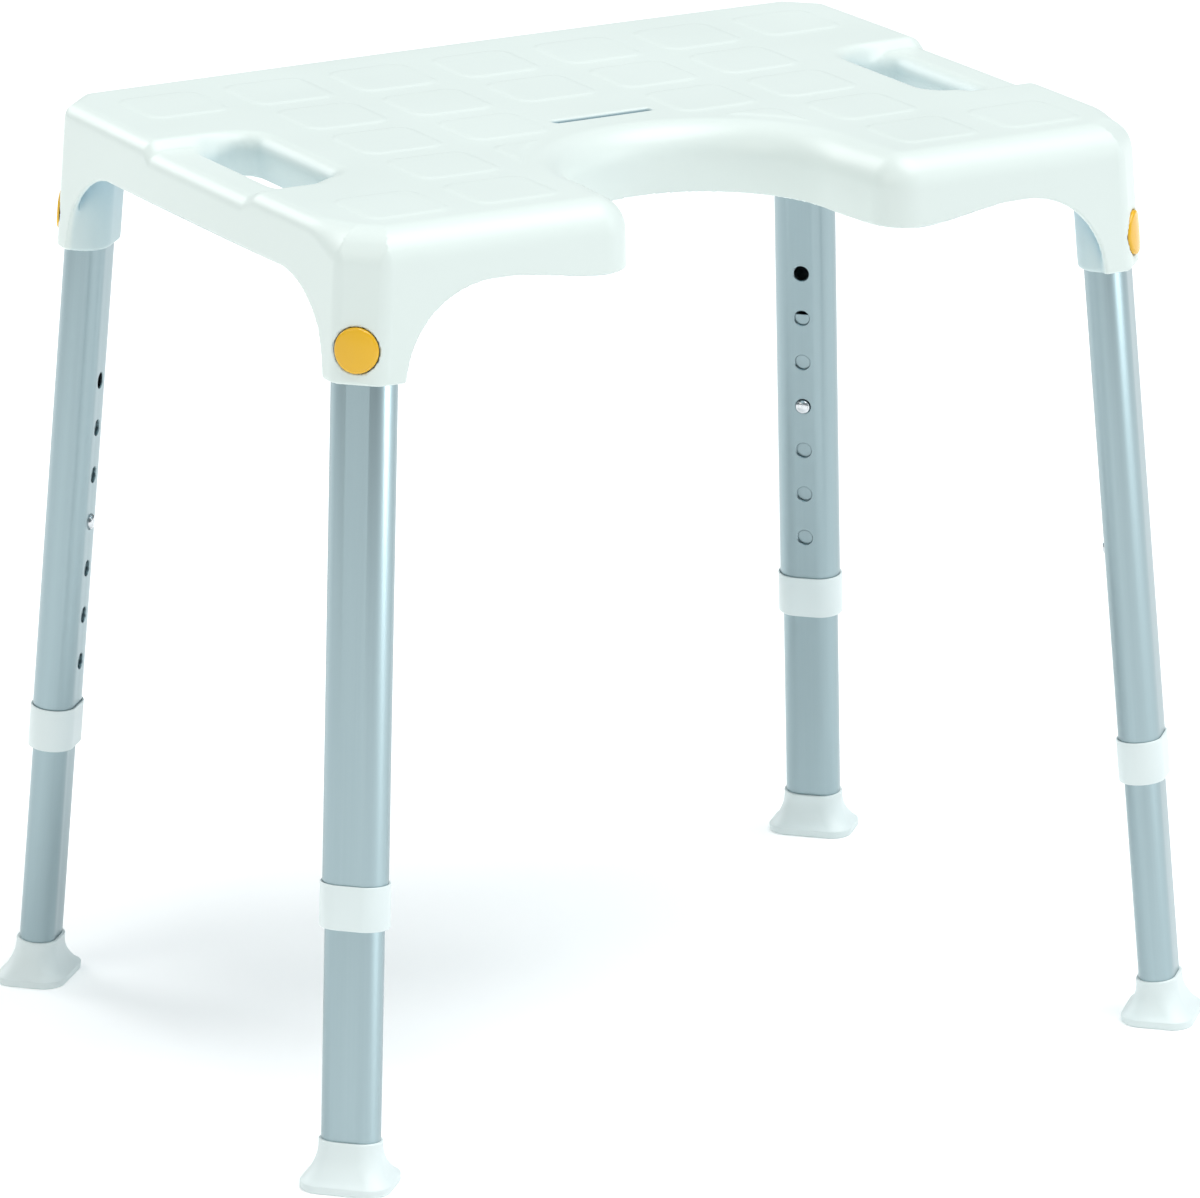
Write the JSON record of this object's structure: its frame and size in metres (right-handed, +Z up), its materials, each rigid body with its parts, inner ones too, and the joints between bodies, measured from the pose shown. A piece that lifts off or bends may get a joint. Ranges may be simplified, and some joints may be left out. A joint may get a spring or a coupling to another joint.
{
  "type": "shower stool",
  "caption": "Height-adjustable shower stool with a front hygiene recess, side handle slots, raised seat pads and splayed telescopic legs with snap pins and release buttons.",
  "frame": {"origin": "on the floor, under the middle of the seat", "axes": "+Z up, +X to the right along the seat's long side, -Y to the front, where the hygiene recess opens"},
  "size_m": [0.5174, 0.3884, 0.467],
  "materials": {
    "seat_plastic": "satin moulded polypropylene, fine orange-peel",
    "collar_plastic": "satin moulded polypropylene",
    "foot_rubber": "matt white rubber",
    "tube_aluminium": "satin anodised, fine lengthwise grain",
    "pin_steel": "polished stainless steel",
    "spring_steel": "rolled spring strip",
    "button_plastic": "glossy amber"
  },
  "bodies": {
    "seat_frame": {"seat": "seat_plastic", "outer_tube_front_left": "tube_aluminium", "outer_tube_front_right": "tube_aluminium", "outer_tube_back_left": "tube_aluminium", "outer_tube_back_right": "tube_aluminium", "collar_front_left": "collar_plastic", "collar_front_right": "collar_plastic", "collar_back_left": "collar_plastic", "collar_back_right": "collar_plastic", "release_spring_front_left": "spring_steel", "release_spring_front_right": "spring_steel", "release_spring_back_left": "spring_steel", "release_spring_back_right": "spring_steel"},
    "leg_front_left": {"inner_tube_front_left": "tube_aluminium", "foot_front_left": "foot_rubber", "pin_spring_front_left": "spring_steel"},
    "leg_front_right": {"inner_tube_front_right": "tube_aluminium", "foot_front_right": "foot_rubber", "pin_spring_front_right": "spring_steel"},
    "leg_back_left": {"inner_tube_back_left": "tube_aluminium", "foot_back_left": "foot_rubber", "pin_spring_back_left": "spring_steel"},
    "leg_back_right": {"inner_tube_back_right": "tube_aluminium", "foot_back_right": "foot_rubber", "pin_spring_back_right": "spring_steel"},
    "snap_pin_front_left": {"height_pin_front_left": "pin_steel"},
    "snap_pin_front_right": {"height_pin_front_right": "pin_steel"},
    "snap_pin_back_left": {"height_pin_back_left": "pin_steel"},
    "snap_pin_back_right": {"height_pin_back_right": "pin_steel"},
    "button_front_left": {"release_button_front_left": "button_plastic"},
    "button_front_right": {"release_button_front_right": "button_plastic"},
    "button_back_left": {"release_button_back_left": "button_plastic"},
    "button_back_right": {"release_button_back_right": "button_plastic"}
  },
  "joints": [
    {"name": "height_front_left", "type": "slide", "parent": "seat_frame", "child": "leg_front_left", "axis": [-0.064, -0.064, -0.9959], "range_m": [-0.075, 0.075]},
    {"name": "height_front_right", "type": "slide", "parent": "seat_frame", "child": "leg_front_right", "axis": [0.064, -0.064, -0.9959], "range_m": [-0.075, 0.075]},
    {"name": "height_back_left", "type": "slide", "parent": "seat_frame", "child": "leg_back_left", "axis": [-0.064, 0.064, -0.9959], "range_m": [-0.075, 0.075]},
    {"name": "height_back_right", "type": "slide", "parent": "seat_frame", "child": "leg_back_right", "axis": [0.064, 0.064, -0.9959], "range_m": [-0.075, 0.075]},
    {"name": "snap_pin_front_left", "type": "slide", "parent": "leg_front_left", "child": "snap_pin_front_left", "axis": [-0.7042, -0.7042, 0.0905], "range_m": [0, 0.004], "stiffness_N_per_m": 2500, "springref_m": -0.001, "deforming": ["pin_spring_front_left"]},
    {"name": "snap_pin_front_right", "type": "slide", "parent": "leg_front_right", "child": "snap_pin_front_right", "axis": [0.7042, -0.7042, 0.0905], "range_m": [0, 0.004], "stiffness_N_per_m": 2500, "springref_m": -0.001, "deforming": ["pin_spring_front_right"]},
    {"name": "snap_pin_back_left", "type": "slide", "parent": "leg_back_left", "child": "snap_pin_back_left", "axis": [-0.7042, 0.7042, 0.0905], "range_m": [0, 0.004], "stiffness_N_per_m": 2500, "springref_m": -0.001, "deforming": ["pin_spring_back_left"]},
    {"name": "snap_pin_back_right", "type": "slide", "parent": "leg_back_right", "child": "snap_pin_back_right", "axis": [0.7042, 0.7042, 0.0905], "range_m": [0, 0.004], "stiffness_N_per_m": 2500, "springref_m": -0.001, "deforming": ["pin_spring_back_right"]},
    {"name": "release_front_left", "type": "slide", "parent": "seat_frame", "child": "button_front_left", "axis": [0.7042, 0.7042, -0.0905], "range_m": [0, 0.0026], "stiffness_N_per_m": 4000, "springref_m": -0.001, "deforming": ["release_spring_front_left"]},
    {"name": "release_front_right", "type": "slide", "parent": "seat_frame", "child": "button_front_right", "axis": [-0.7042, 0.7042, -0.0905], "range_m": [0, 0.0026], "stiffness_N_per_m": 4000, "springref_m": -0.001, "deforming": ["release_spring_front_right"]},
    {"name": "release_back_left", "type": "slide", "parent": "seat_frame", "child": "button_back_left", "axis": [0.7042, -0.7042, -0.0905], "range_m": [0, 0.0026], "stiffness_N_per_m": 4000, "springref_m": -0.001, "deforming": ["release_spring_back_left"]},
    {"name": "release_back_right", "type": "slide", "parent": "seat_frame", "child": "button_back_right", "axis": [-0.7042, -0.7042, -0.0905], "range_m": [0, 0.0026], "stiffness_N_per_m": 4000, "springref_m": -0.001, "deforming": ["release_spring_back_right"]}
  ]
}
